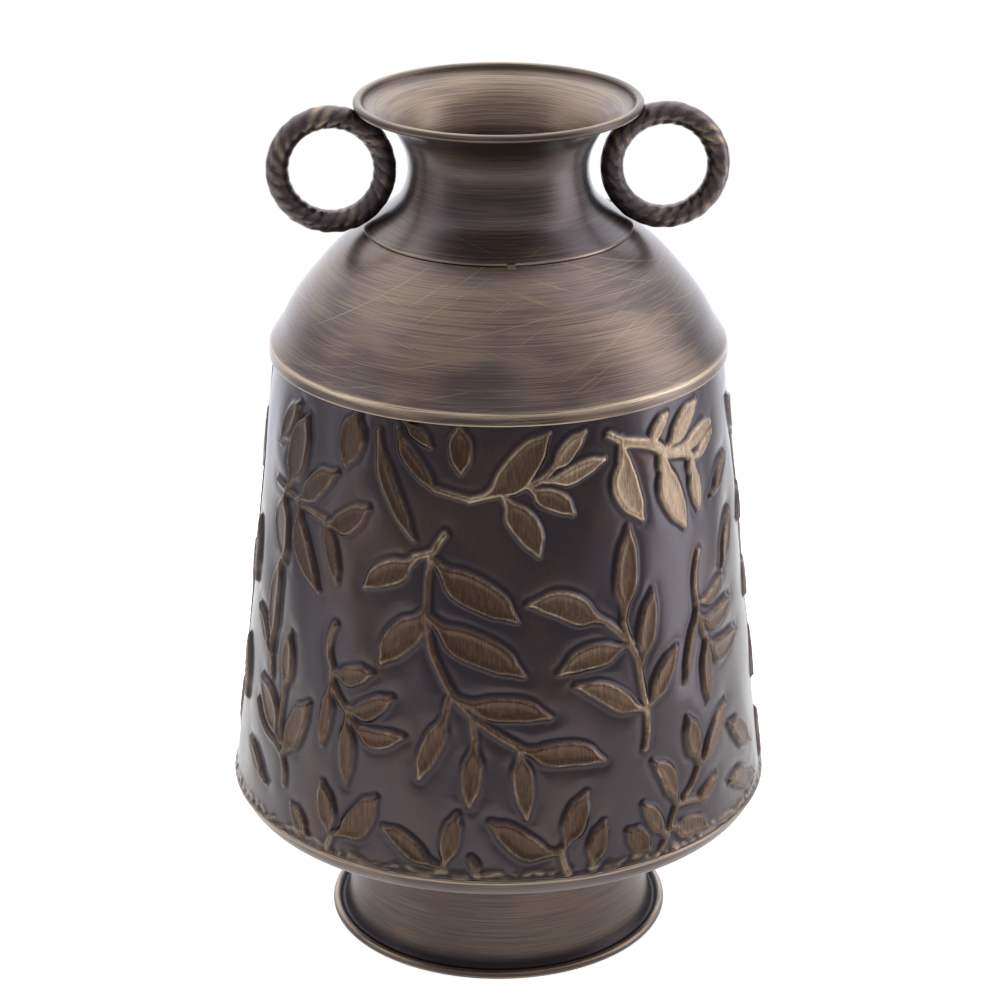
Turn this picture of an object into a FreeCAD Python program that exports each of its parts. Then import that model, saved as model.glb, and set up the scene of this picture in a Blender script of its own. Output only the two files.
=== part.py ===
import FreeCAD, Part
import math
import os

# An urn vase of thin metal sheet: a spun foot, a spun pan, a tapered body wall embossed with leaf sprigs,
# a spun shoulder and a spun flared neck, with two cast ring handles welded to the neck.
# Lengths are millimetres, angles are degrees. The vase stands on z = 0 and its axis is the Z axis.
# Angle 0 on the body faces -Y, and angles grow towards +X.

V = FreeCAD.Vector

# Sheet and fits
sheet = 0.8
seat_gap = 0.05
overrun = 5.0

# Foot
foot_height = 62.0
foot_wall_radius = 67.0
foot_bead = 2.0
foot_rest_flat = 0.25
foot_flange_radius = 76.0
foot_cove_height = 24.0
foot_seat_width = 7.0
foot_end_slope = 35.0
foot_curl_turn = 250.0

# Body
body_height = 200.0
body_low_radius = 117.9
body_top_radius = 95.8
leaf_rise = 1.5
stem_rise = 1.2
stem_width = 2.2
leaf_neck_width = 1.2
leaf_sway_share = 0.03
pattern_repeats = 2
pattern_turn = -3.0
seam_angle = -90.0
seam_width = 2.6
seam_rise = 0.5

# Pan, whose beaded edge carries the body's wall
pan_rise = 9.9
pan_corner = 13.0
pan_edge_bead = 1.1
pan_edge_overhang = 1.3
pan_edge_radius = body_low_radius + pan_edge_overhang
pan_edge_height = foot_height + pan_rise
pan_curl_turn = 230.0

# The embossed band starts a little under the pan's edge
band_sink = 1.9
body_base = pan_edge_height - band_sink
body_top = body_base + body_height

# Shoulder, whose skirt hangs round the wall's top
skirt_overhang = 2.5
skirt_drop = 1.3
skirt_height = 3.9
skirt_bend = 1.8
shoulder_radius = body_top_radius + skirt_overhang
crest_height = body_top - skirt_drop + skirt_height + skirt_bend
dome_rise = 48.2
dome_start_slope = -34.0
dome_end_slope = -52.0

# Neck
neck_foot_radius = 57.3
neck_foot_height = crest_height + dome_rise
neck_foot_slope = 180.0 + dome_start_slope
neck_waist_radius = 38.2
neck_lower_rise = 26.9
neck_waist_height = neck_foot_height + neck_lower_rise
mouth_rise = 29.1
rim_radius = 60.9
rim_height = neck_waist_height + mouth_rise
rim_bead = 1.9
rim_slope = 85.0
rim_curl_turn = 250.0

# Ring handles
ring_radius = 22.6
ring_bar = 5.2
ring_gap = 4.4
ring_reach = neck_waist_radius + ring_gap + ring_bar + ring_radius
ring_lift = -1.0

# Weld beads and tacks
ring_weld_radius = 3.6
ring_weld_angles = (58.0, -53.0)
tack_width = 3.4
tack_depth = 3.0
tack_height = 2.4
tack_angle = 2.2
tack_count = 3
foot_weld_leg = 2.4
foot_weld_sweep = 5.0
foot_weld_count = 4

# Shares of the run from the neck's foot out to the skirt, and of the rise from the crest to the neck's foot
dome_shares = [(-0.08, 1.046), (0.0, 1.0), (0.212, 0.864), (0.371, 0.740), (0.498, 0.616),
               (0.617, 0.492), (0.724, 0.368), (0.812, 0.244), (0.888, 0.120), (0.951, 0.037)]

# Shares of the neck's spread below the waist, and of the height between its foot and its waist
neck_lower_shares = [(1.0, 0.0), (0.735, 0.131), (0.43, 0.302), (0.205, 0.472), (0.089, 0.64), (0.018, 0.83)]

# Shares of the mouth's spread above the waist, and of the height between the waist and the rim
mouth_shares = [(0.0, 0.0), (0.034, 0.20), (0.135, 0.395), (0.295, 0.585),
                (0.5, 0.725), (0.72, 0.815), (0.885, 0.860)]

# Share of the pan's corner outwards and of its rise, at the middle of the corner
pan_corner_shares = (0.74, 0.24)

# Shares of the flange's spread beyond the foot's wall, and of the height of its cove
foot_shares = [(0.0, 1.0), (0.08, 0.55), (0.20, 0.28), (0.34, 0.14), (0.47, 0.092)]

# A leaf's outline: shares of its length, and of its fullest width beyond the stalk's
leaf_outline_shares = [(0.0, 0.0), (0.12, 0.12), (0.28, 0.68), (0.48, 1.0), (0.68, 0.90), (0.87, 0.42), (1.0, 0.0)]

# A leaf: angle and height share of its base, angle and height share of its tip, width share and bend share.
# Heights are shares of the embossed band, widths and bends are shares of the leaf's own length.
# A bend is positive when the leaf bows to the left, seen from base to tip.
hanging_sprig_leaf_shares = [
    (-18.5, 0.710, -32.0, 0.622, 0.33, 0.0),
    (-15.5, 0.713, 4.3, 0.580, 0.31, -0.02),
    (-16.2, 0.603, -27.0, 0.465, 0.35, 0.0),
    (-16.2, 0.590, 5.7, 0.462, 0.28, -0.02),
    (-9.0, 0.412, 11.3, 0.370, 0.26, 0.0),
    (-11.2, 0.385, -17.0, 0.228, 0.25, 0.0),
    (-5.1, 0.322, -6.1, 0.175, 0.27, 0.0),
    (4.5, 0.308, 5.9, 0.148, 0.25, 0.0),
    (4.0, 0.308, 23.2, 0.258, 0.27, 0.02),
]
hanging_sprig_stem_shares = [
    (-12.4, 0.762, -14.3, 0.735, -15.8, 0.705),
    (-15.8, 0.705, -16.2, 0.650, -16.2, 0.600),
    (-16.2, 0.600, -15.4, 0.530, -13.3, 0.478),
    (-13.3, 0.478, -11.6, 0.445, -10.0, 0.420),
    (-10.0, 0.420, -3.5, 0.358, 4.5, 0.308),
    (-15.5, 0.720, -17.5, 0.713, -19.5, 0.708),
    (-10.2, 0.422, -11.0, 0.400, -11.4, 0.380),
    (-5.8, 0.382, -5.4, 0.350, -5.1, 0.318),
]
top_sprig_leaf_shares = [
    (-4.8, 0.841, 12.3, 0.975, 0.33, -0.07),
    (12.0, 0.892, 21.2, 0.969, 0.33, 0.0),
    (10.5, 0.875, 26.2, 0.905, 0.26, -0.04),
    (6.8, 0.867, 17.8, 0.799, 0.36, 0.02),
    (0.8, 0.853, 9.4, 0.716, 0.35, 0.04),
    (-9.3, 1.000, -8.8, 0.890, 0.42, 0.0),
    (-25.0, 0.975, -15.0, 0.852, 0.22, -0.06),
    (-30.0, 0.960, -19.8, 0.742, 0.15, -0.06),
    (-23.0, 0.990, -16.3, 0.941, 0.35, 0.0),
    (-36.0, 1.000, -39.3, 0.866, 0.42, 0.0),
]
top_sprig_stem_shares = [
    (-6.8, 0.836, -3.5, 0.844, 0.0, 0.851),
    (0.0, 0.851, 4.5, 0.862, 9.0, 0.872),
    (9.0, 0.872, 11.0, 0.882, 13.0, 0.898),
    (-15.0, 0.854, -11.0, 0.846, -6.8, 0.838),
]
left_top_sprig_leaf_shares = [
    (-60.8, 0.759, -53.5, 0.945, 0.34, 0.0),
    (-56.1, 0.753, -41.7, 0.850, 0.29, 0.0),
    (-45.0, 0.735, -32.0, 0.792, 0.36, -0.10),
    (-44.5, 0.745, -39.9, 0.614, 0.24, 0.0),
    (-54.2, 0.755, -45.6, 0.580, 0.30, -0.13),
    (-61.0, 0.760, -59.3, 0.600, 0.44, -0.12),
    (-67.0, 0.850, -58.0, 0.960, 0.30, 0.0),
]
left_top_sprig_stem_shares = [
    (-67.0, 0.765, -60.0, 0.758, -54.0, 0.750),
    (-54.0, 0.750, -49.5, 0.744, -45.0, 0.740),
]
left_sprig_leaf_shares = [
    (-39.9, 0.421, -28.8, 0.440, 0.38, -0.08),
    (-35.9, 0.351, -23.8, 0.395, 0.33, -0.12),
    (-33.8, 0.330, -20.8, 0.315, 0.33, -0.20),
    (-34.8, 0.341, -34.4, 0.180, 0.23, 0.0),
    (-39.8, 0.395, -41.5, 0.248, 0.20, 0.0),
    (-62.5, 0.380, -72.0, 0.465, 0.28, 0.0),
    (-62.3, 0.385, -61.0, 0.605, 0.20, 0.07),
]
left_sprig_stem_shares = [
    (-39.7, 0.522, -41.3, 0.472, -39.8, 0.425),
    (-39.8, 0.425, -39.2, 0.388, -35.2, 0.345),
    (-35.2, 0.345, -34.5, 0.338, -33.8, 0.328),
    (-61.7, 0.335, -62.0, 0.358, -62.5, 0.380),
]
left_low_sprig_leaf_shares = [
    (-55.5, 0.320, -54.3, 0.460, 0.31, 0.0),
    (-54.7, 0.179, -46.0, 0.330, 0.30, 0.0),
    (-55.3, 0.205, -67.0, 0.320, 0.40, -0.05),
    (-37.5, 0.053, -40.8, 0.168, 0.38, 0.0),
    (-37.2, 0.060, -26.6, 0.170, 0.37, -0.10),
    (-44.0, 0.030, -50.0, 0.082, 0.50, 0.0),
    (-60.5, 0.090, -72.0, 0.150, 0.28, 0.0),
]
left_low_sprig_stem_shares = [
    (-53.2, 0.120, -54.0, 0.170, -58.0, 0.198),
    (-58.0, 0.198, -63.5, 0.212, -68.0, 0.255),
    (-54.8, 0.208, -56.0, 0.260, -55.6, 0.320),
    (-38.6, 0.025, -38.0, 0.040, -37.2, 0.060),
]
low_sprig_leaf_shares = [
    (-12.5, 0.040, -25.0, 0.108, 0.30, 0.0),
    (-11.5, 0.035, -8.6, 0.160, 0.30, 0.0),
    (-4.2, 0.025, -5.7, 0.065, 0.40, 0.0),
    (13.0, 0.070, -1.8, 0.144, 0.32, 0.10),
    (13.5, 0.075, 18.9, 0.196, 0.38, 0.0),
    (19.3, 0.025, 22.6, 0.125, 0.40, 0.0),
    (33.5, 0.032, 28.0, 0.092, 0.55, 0.0),
]
low_sprig_stem_shares = [
    (14.4, 0.025, 13.6, 0.045, 13.1, 0.075),
]
right_low_sprig_leaf_shares = [
    (37.5, 0.055, 32.0, 0.142, 0.32, 0.0),
    (41.0, 0.112, 35.2, 0.230, 0.30, -0.10),
    (46.0, 0.105, 54.8, 0.135, 0.35, -0.10),
    (38.7, 0.071, 50.0, 0.036, 0.38, 0.0),
    (48.4, 0.185, 45.8, 0.299, 0.38, 0.0),
    (48.5, 0.179, 61.0, 0.282, 0.30, 0.0),
    (73.0, 0.135, 61.5, 0.225, 0.30, 0.0),
    (74.0, 0.055, 60.0, 0.095, 0.30, 0.0),
]
right_low_sprig_stem_shares = [
    (36.4, 0.030, 38.0, 0.058, 40.7, 0.108),
    (41.0, 0.112, 44.0, 0.110, 46.5, 0.106),
    (43.5, 0.122, 46.3, 0.145, 48.6, 0.182),
]
right_sprig_leaf_shares = [
    (25.0, 0.558, 6.6, 0.615, 0.32, -0.09),
    (30.5, 0.502, 13.3, 0.462, 0.31, -0.06),
    (34.3, 0.347, 17.0, 0.432, 0.23, -0.02),
    (34.3, 0.350, 43.9, 0.465, 0.31, 0.0),
    (29.3, 0.552, 31.7, 0.752, 0.25, 0.0),
    (33.2, 0.445, 37.6, 0.605, 0.27, 0.0),
]
right_sprig_stem_shares = [
    (33.4, 0.262, 34.3, 0.305, 34.3, 0.350),
    (34.3, 0.350, 33.4, 0.402, 32.7, 0.455),
    (32.7, 0.455, 30.5, 0.502, 25.3, 0.555),
    (31.3, 0.498, 30.0, 0.522, 29.3, 0.552),
]
far_right_sprig_leaf_shares = [
    (51.8, 0.530, 46.0, 0.379, 0.16, 0.0),
    (54.5, 0.455, 53.2, 0.308, 0.24, 0.0),
    (52.0, 0.540, 64.0, 0.560, 0.30, -0.12),
    (52.2, 0.508, 68.0, 0.498, 0.30, -0.15),
    (54.5, 0.452, 70.5, 0.415, 0.33, -0.20),
    (61.0, 0.745, 73.0, 0.810, 0.30, 0.0),
    (64.0, 0.575, 73.0, 0.685, 0.35, 0.0),
]
far_right_sprig_stem_shares = [
    (54.0, 0.645, 51.8, 0.600, 51.7, 0.550),
    (51.7, 0.550, 52.3, 0.505, 54.5, 0.452),
]
right_top_sprig_leaf_shares = [
    (31.8, 0.930, 36.0, 0.758, 0.33, -0.12),
    (42.8, 0.894, 49.5, 0.709, 0.29, -0.05),
    (53.3, 0.852, 55.3, 0.732, 0.29, 0.0),
    (48.0, 0.885, 64.5, 0.902, 0.25, 0.0),
    (53.3, 0.852, 64.5, 0.885, 0.26, -0.05),
    (37.8, 0.914, 46.0, 0.968, 0.35, 0.0),
    (43.9, 0.892, 57.5, 0.968, 0.35, 0.0),
]
right_top_sprig_stem_shares = [
    (27.5, 0.954, 30.0, 0.940, 32.5, 0.925),
    (32.5, 0.925, 37.5, 0.915, 42.5, 0.895),
    (42.5, 0.895, 48.0, 0.880, 53.3, 0.852),
]
# The plain sides between the two repeats hold small sprigs, clear of the seam
side_leaf_shares = [
    (90.9, 0.798, 80.5, 0.900, 0.34, 0.0),
    (90.5, 0.780, 100.0, 0.850, 0.32, 0.0),
    (88.5, 0.680, 79.5, 0.620, 0.32, 0.0),
    (87.7, 0.641, 98.5, 0.600, 0.32, 0.0),
    (89.5, 0.500, 80.0, 0.440, 0.32, 0.0),
    (90.5, 0.460, 100.5, 0.420, 0.32, 0.0),
    (91.0, 0.320, 83.0, 0.230, 0.32, 0.0),
    (91.0, 0.310, 97.5, 0.190, 0.30, 0.0),
    (84.0, 0.030, 88.0, 0.130, 0.34, 0.0),
    (98.0, 0.030, 92.0, 0.100, 0.34, 0.0),
    (-79.5, 0.500, -82.5, 0.640, 0.26, 0.0),
    (-80.0, 0.220, -83.5, 0.360, 0.26, 0.0),
    (-98.0, 0.700, -95.5, 0.850, 0.26, 0.0),
    (-99.0, 0.400, -95.5, 0.540, 0.26, 0.0),
    (-98.0, 0.060, -96.0, 0.200, 0.26, 0.0),
]
side_stem_shares = [
    (90.0, 0.870, 90.8, 0.780, 88.4, 0.680),
    (88.4, 0.680, 87.6, 0.590, 89.5, 0.500),
    (89.5, 0.500, 91.4, 0.410, 91.0, 0.310),
]
leaf_table_shares = (hanging_sprig_leaf_shares + top_sprig_leaf_shares + left_top_sprig_leaf_shares
                     + left_sprig_leaf_shares + left_low_sprig_leaf_shares + low_sprig_leaf_shares
                     + right_low_sprig_leaf_shares + right_sprig_leaf_shares
                     + far_right_sprig_leaf_shares + right_top_sprig_leaf_shares)
stem_table_shares = (hanging_sprig_stem_shares + top_sprig_stem_shares + left_top_sprig_stem_shares
                     + left_sprig_stem_shares + left_low_sprig_stem_shares + low_sprig_stem_shares
                     + right_low_sprig_stem_shares + right_sprig_stem_shares
                     + far_right_sprig_stem_shares + right_top_sprig_stem_shares)

axis_foot = V(0, 0, 0)
axis_up = V(0, 0, 1)
full_turn = 360.0


# Sheet profiles
def direction(slope):
    """Unit vector of the XZ half plane at a slope."""
    return V(math.cos(math.radians(slope)), 0, math.sin(math.radians(slope)))


def spline_through(points, start_slope, end_slope):
    """Smooth curve through points of the XZ half plane, with its end slopes."""
    curve = Part.BSplineCurve()
    ends = {"InitialTangent": direction(start_slope), "FinalTangent": direction(end_slope)}
    curve.interpolate(Points=points, **ends)
    return curve


def shifted(points, start_slope, end_slope, distance):
    """The points carried square to their curve, to its left where distance is positive."""
    curve = spline_through(points, start_slope, end_slope)
    moved = []
    for point in points:
        tangent = curve.tangent(curve.parameter(point))[0]
        moved.append(point + V(-tangent.z, 0, tangent.x) * distance)
    return moved


def bend_arc(centre, start, turn):
    """Arc about centre from start, turning right by turn degrees, and its far end."""
    spoke = start - centre
    half = FreeCAD.Rotation(V(0, 1, 0), turn / 2)
    middle = half.multVec(spoke)
    end = half.multVec(middle)
    return Part.Arc(start, centre + middle, centre + end).toShape(), centre + end


def spun_sheet(points, start_slope, end_slope, side, bend_centre, bend_radius, bend_turn, tail=0):
    """Solid of revolution of a sheet whose face follows the points and then bends right round bend_centre.
    The sheet's other face lies on the left where side is 1, on the right where it is -1.
    bend_radius is the larger radius of the bend, and tail is a straight length after it."""
    face_radius = bend_radius if side < 0 else bend_radius - sheet
    points = points + [bend_centre + direction(end_slope + 90) * face_radius]
    edges = []
    starts = []
    ends = []
    for path in (points, shifted(points, start_slope, end_slope, side * sheet)):
        edges.append(spline_through(path, start_slope, end_slope).toShape())
        arc, end = bend_arc(bend_centre, path[-1], bend_turn)
        edges.append(arc)
        if tail:
            tail_end = end + direction(end_slope - bend_turn) * tail
            edges.append(Part.makeLine(end, tail_end))
            end = tail_end
        starts.append(path[0])
        ends.append(end)
    edges.append(Part.makeLine(*starts))
    edges.append(Part.makeLine(*ends))
    profile = Part.Face(Part.Wire(Part.__sortEdges__(edges)))
    return profile.revolve(axis_foot, axis_up, full_turn)


def spun_polygon(corners, sweep=full_turn):
    """Solid of revolution of a polygon of the XZ half plane."""
    profile = Part.Face(Part.makePolygon(corners + [corners[0]]))
    return profile.revolve(axis_foot, axis_up, sweep)


def flat_ring(outer_radius, inner_radius, low, thickness):
    """Flat annular plate about the axis."""
    return spun_polygon([V(inner_radius, 0, low), V(outer_radius, 0, low),
                         V(outer_radius, 0, low + thickness), V(inner_radius, 0, low + thickness)])


def turned(shape, angle):
    """Copy of a shape turned about the vase's axis."""
    copy = shape.copy()
    copy.rotate(axis_foot, axis_up, angle)
    return copy


# Foot: a straight wall that flares to a rolled edge, with a seat flange at its top
def make_foot():
    spread = foot_flange_radius - foot_wall_radius
    top = foot_height - seat_gap
    points = [V(foot_wall_radius, 0, top)]
    for out_share, up_share in foot_shares:
        points.append(V(foot_wall_radius + spread * out_share, 0, foot_cove_height * up_share))
    bead_centre = V(foot_flange_radius - foot_bead, 0, foot_bead - foot_rest_flat)
    wall = spun_sheet(points, -90, foot_end_slope, -1, bead_centre, foot_bead, foot_curl_turn)
    seat = flat_ring(foot_wall_radius, foot_wall_radius - foot_seat_width, top - sheet, sheet)
    above_ground = Part.makeCylinder(foot_flange_radius + overrun, foot_height + overrun)
    return wall.fuse(seat).removeSplitter().common(above_ground)


# Pan: a flat floor, a turned-up corner and an outward bead under the body's lower edge
def make_pan():
    bead_centre = V(pan_edge_radius - pan_edge_bead, 0, pan_edge_height)
    corner_radius = bead_centre.x - pan_edge_bead + sheet
    floor_radius = corner_radius - pan_corner
    out_share, up_share = pan_corner_shares
    corner_middle = V(floor_radius + pan_corner * out_share, 0, foot_height + pan_rise * up_share)
    points = [V(floor_radius, 0, foot_height), corner_middle]
    edge = spun_sheet(points, 0, 90, 1, bead_centre, pan_edge_bead, pan_curl_turn)
    floor = Part.makeCylinder(floor_radius, sheet, V(0, 0, foot_height))
    return floor.fuse(edge).removeSplitter()


# Body: a tapered wall with raised leaves and stems
def body_radius(height):
    """Radius of the wall's plain outer face at a height."""
    share = (height - body_base) / body_height
    return body_low_radius + (body_top_radius - body_low_radius) * share


def cone_band(inner_offset, outer_offset, low, high):
    """Conical band between two offsets from the wall's outer face."""
    low_radius = body_radius(low)
    high_radius = body_radius(high)
    return spun_polygon([V(low_radius + inner_offset, 0, low), V(low_radius + outer_offset, 0, low),
                         V(high_radius + outer_offset, 0, high), V(high_radius + inner_offset, 0, high)])


def chart_point(angle, share):
    """Place on the unrolled wall: arc length from angle 0 at the point's height, and that height."""
    height = body_base + body_height * share
    return V(math.radians(angle) * body_radius(height), 0, height)


def blade_face(spine, side, halves):
    """Flat outline of a leaf or stem: its spine points, the unit vector across it and its half widths."""
    left = [place + side * half for place, half in zip(spine, halves)]
    right = [place - side * half for place, half in zip(spine, halves)]
    edges = []
    for bank in (left, right):
        curve = Part.BSplineCurve()
        curve.interpolate(Points=bank)
        edges.append(curve.toShape())
    edges.append(Part.makeLine(left[0], right[0]))
    edges.append(Part.makeLine(left[-1], right[-1]))
    return Part.Face(Part.Wire(Part.__sortEdges__(edges)))


def on_wall(outline, rise):
    """Raised solid over a chart outline, carried out square to the wall and kept within the rise."""
    place = outline.BoundBox.Center
    radius = body_radius(place.z)
    angle = math.degrees(place.x / radius)
    block = outline.copy()
    block.translate(V(-place.x, -radius - overrun, 0))
    block = block.extrude(V(0, 2 * overrun + sheet, 0))
    return turned(block, angle).common(relief_band[rise])


def leaf(base_angle, base_share, tip_angle, tip_share, width_share, bend_share):
    """One raised leaf: a short stalk, a blade that is fullest past its middle and a tip that droops."""
    base = chart_point(base_angle, base_share)
    tip = chart_point(tip_angle, tip_share)
    run = tip - base
    across = V(-run.z, 0, run.x)
    sway_share = leaf_sway_share * run.x / run.Length
    swell = (run.Length * width_share - leaf_neck_width) / 2
    spine = []
    halves = []
    for along, width in leaf_outline_shares:
        offset = bend_share * 4 * along * (1 - along) - sway_share * math.sin(2 * math.pi * along)
        spine.append(base + run * along + across * offset)
        halves.append(leaf_neck_width / 2 * (1 - along / 2) + swell * width)
    return on_wall(blade_face(spine, V(across).normalize(), halves), leaf_rise)


def stem(base_angle, base_share, mid_angle, mid_share, tip_angle, tip_share):
    """One raised length of stem."""
    spine = [chart_point(base_angle, base_share), chart_point(mid_angle, mid_share), chart_point(tip_angle, tip_share)]
    run = spine[-1] - spine[0]
    side = V(-run.z, 0, run.x).normalize()
    return on_wall(blade_face(spine, side, [stem_width / 2] * len(spine)), stem_rise)


# The wall's outer lower corner rests on the round top of the pan's bead
edge_offset = min(pan_edge_radius - pan_edge_bead - body_radius(pan_edge_height), pan_edge_bead)
wall_low = pan_edge_height + math.sqrt(pan_edge_bead ** 2 - edge_offset ** 2) + seat_gap
relief_band = {rise: cone_band(-sheet / 2, rise, wall_low, body_top) for rise in (leaf_rise, stem_rise)}


def make_body(above_shoulder):
    wall = cone_band(-sheet, 0, wall_low, body_top + skirt_height + overrun)
    wall = wall.cut(above_shoulder)
    raised = [leaf(*row) for row in leaf_table_shares] + [stem(*row) for row in stem_table_shares]
    pattern = []
    for repeat in range(pattern_repeats):
        pattern += [turned(piece, pattern_turn + full_turn * repeat / pattern_repeats) for piece in raised]
    pattern += [leaf(*row) for row in side_leaf_shares] + [stem(*row) for row in side_stem_shares]
    return wall.multiFuse(pattern)


def make_seam(body):
    """Brazed bead down the body's one vertical joint."""
    low = body_base + body_height / 20
    bead = cone_band(0, seam_rise, low, body_top - skirt_drop)
    reach = 2 * pan_edge_radius
    strip = Part.makeBox(seam_width, reach, body_height, V(-seam_width / 2, -reach, low))
    return turned(strip, seam_angle).common(bead).cut(body)


# Shoulder: a nearly conical dome that bends into a plain skirt round the body's top
def dome_points():
    run = shoulder_radius - neck_foot_radius
    return [V(neck_foot_radius + run * out_share, 0, crest_height + dome_rise * up_share)
            for out_share, up_share in dome_shares]


def make_shoulder():
    bend_centre = V(shoulder_radius - skirt_bend, 0, crest_height - skirt_bend)
    bend_turn = 90 + dome_end_slope
    return spun_sheet(dome_points(), dome_start_slope, dome_end_slope, -1,
                      bend_centre, skirt_bend, bend_turn, skirt_height)


def above_dome():
    """Everything above the dome's inner face, to trim what stands under it."""
    inner = shifted(dome_points(), dome_start_slope, dome_end_slope, -sheet - seat_gap)
    side = V(pan_edge_radius, 0, inner[-1].z)
    top_out = V(pan_edge_radius, 0, rim_height)
    top_in = V(inner[0].x, 0, rim_height)
    face = spline_through(inner, dome_start_slope, dome_end_slope).toShape()
    edges = [face, Part.makeLine(inner[-1], side), Part.makeLine(side, top_out),
             Part.makeLine(top_out, top_in), Part.makeLine(top_in, inner[0])]
    profile = Part.Face(Part.Wire(Part.__sortEdges__(edges)))
    return profile.revolve(axis_foot, axis_up, full_turn)


# Neck: a foot flange on the shoulder, a narrow waist and a flared mouth with a raised, rolled rim
def make_neck():
    lift = (sheet + seat_gap) / math.cos(math.radians(dome_start_slope))
    foot_level = neck_foot_height + lift
    foot_spread = neck_foot_radius - neck_waist_radius
    points = []
    for out_share, up_share in neck_lower_shares:
        height = foot_level + (neck_waist_height - foot_level) * up_share
        points.append(V(neck_waist_radius + foot_spread * out_share, 0, height))
    bead_centre = V(rim_radius - rim_bead, 0, rim_height - rim_bead)
    mouth_spread = bead_centre.x - neck_waist_radius
    for out_share, up_share in mouth_shares:
        height = neck_waist_height + mouth_rise * up_share
        points.append(V(neck_waist_radius + mouth_spread * out_share, 0, height))
    return spun_sheet(points, neck_foot_slope, rim_slope, 1, bead_centre, rim_bead, rim_curl_turn)


# Ring handles: two cast rings that stand in the plane through the vase's axis
def ring_centre(side):
    """Centre of the ring on the left where side is -1, on the right where it is 1."""
    return V(side * ring_reach, 0, neck_waist_height + ring_lift)


def make_ring(centre):
    return Part.makeTorus(ring_radius, ring_bar, centre, V(0, 1, 0))


def make_ring_welds(side, centre, ring, neck, shoulder):
    """Weld beads where a ring meets the mouth above and the neck's foot below."""
    beads = []
    for angle in ring_weld_angles:
        spoke = V(-math.cos(math.radians(angle)) * side, 0, math.sin(math.radians(angle)))
        bead = Part.makeSphere(ring_weld_radius, centre + spoke * (ring_radius + ring_bar))
        beads.append(bead.cut(ring).cut(neck).cut(shoulder))
    return beads


# Tacks and welds that hold the spun pieces together
def make_neck_tacks(neck, shoulder):
    corner = V(-tack_width / 2, -neck_foot_radius - tack_depth / 2, neck_foot_height - tack_height / 3)
    tacks = []
    for number in range(tack_count):
        block = Part.makeBox(tack_width, tack_depth, tack_height, corner)
        block = turned(block, tack_angle + full_turn * number / tack_count)
        tacks.append(block.cut(neck).cut(shoulder))
    return tacks


def make_foot_welds():
    """Short fillet beads in the corner between the foot's wall and the pan's floor."""
    wall = foot_wall_radius + seat_gap
    floor = foot_height - seat_gap
    corners = [V(wall, 0, floor), V(wall + foot_weld_leg, 0, floor), V(wall, 0, floor - foot_weld_leg)]
    bead = spun_polygon(corners, foot_weld_sweep)
    return [turned(bead, full_turn * (number + 0.5) / foot_weld_count) for number in range(foot_weld_count)]


def biggest(solids):
    """The largest solid of a cut shape, without loose slivers."""
    return max(solids, key=lambda solid: solid.Volume)


shoulder = make_shoulder()
neck = make_neck()
foot = make_foot()
pan = make_pan()
body = make_body(above_dome())
left_centre = ring_centre(-1)
right_centre = ring_centre(1)
ring_left = make_ring(left_centre)
ring_right = make_ring(right_centre)
ring_welds = (make_ring_welds(-1, left_centre, ring_left, neck, shoulder)
              + make_ring_welds(1, right_centre, ring_right, neck, shoulder))

pieces = {
    "foot": [foot],
    "foot_welds": make_foot_welds(),
    "bottom_pan": [pan],
    "body_wall": [body],
    "body_seam": [make_seam(body)],
    "shoulder": [shoulder],
    "neck": [neck],
    "neck_tacks": make_neck_tacks(neck, shoulder),
    "handle_left": [ring_left],
    "handle_right": [ring_right],
    "handle_welds": ring_welds,
}

os.makedirs("parts", exist_ok=True)
for name, shapes in pieces.items():
    solids = [biggest(shape.Solids) for shape in shapes]
    node = solids[0]
    if len(solids) > 1:
        node = Part.makeCompound(solids)
    node.exportStep("parts/" + name + ".step")
    box = node.BoundBox
    print(name, len(solids), "valid", node.isValid(), "volume", round(node.Volume, 1),
          "z", round(box.ZMin, 2), round(box.ZMax, 2), "x", round(box.XMin, 2), round(box.XMax, 2))
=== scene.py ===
# An urn vase of dark antique bronze sheet: embossed body, domed shoulder, flared neck and two rope rings.
import math
import bpy
import numpy as np
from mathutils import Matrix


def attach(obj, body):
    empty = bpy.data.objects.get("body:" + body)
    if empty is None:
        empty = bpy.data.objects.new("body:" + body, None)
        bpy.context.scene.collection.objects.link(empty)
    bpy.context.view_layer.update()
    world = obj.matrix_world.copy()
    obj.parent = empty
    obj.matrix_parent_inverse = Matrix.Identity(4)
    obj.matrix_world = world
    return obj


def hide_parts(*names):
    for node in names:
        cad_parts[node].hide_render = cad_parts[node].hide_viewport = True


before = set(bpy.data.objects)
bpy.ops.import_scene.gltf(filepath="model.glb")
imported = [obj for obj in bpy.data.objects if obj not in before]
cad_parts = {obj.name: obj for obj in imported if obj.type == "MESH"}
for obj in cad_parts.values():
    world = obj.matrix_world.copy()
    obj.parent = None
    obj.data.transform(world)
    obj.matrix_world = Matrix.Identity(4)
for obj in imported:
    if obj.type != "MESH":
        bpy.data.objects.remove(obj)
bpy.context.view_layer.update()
mm = 0.001
fullTurn = 2 * math.pi
spunColumns = 288
edgeBulge = 0.3  # how far a sheet's cut edge stands out, in thicknesses
noiseMean = 0.5
mixSockets = {"share": 0, "first": 6, "second": 7, "result": 2}  # a Mix node's sockets for colours
print("frame loaded,", len(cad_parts), "nodes")


# Mesh helpers
def gridFaces(rows, columns):
    # quads of a grid that closes both ways
    row = np.arange(rows)[:, None]
    column = np.arange(columns)[None, :]
    nextRow = (row + 1) % rows
    nextColumn = (column + 1) % columns
    corners = [row * columns + column, row * columns + nextColumn,
               nextRow * columns + nextColumn, nextRow * columns + column]
    return np.stack(corners, axis=-1).reshape(-1, 4)


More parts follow.
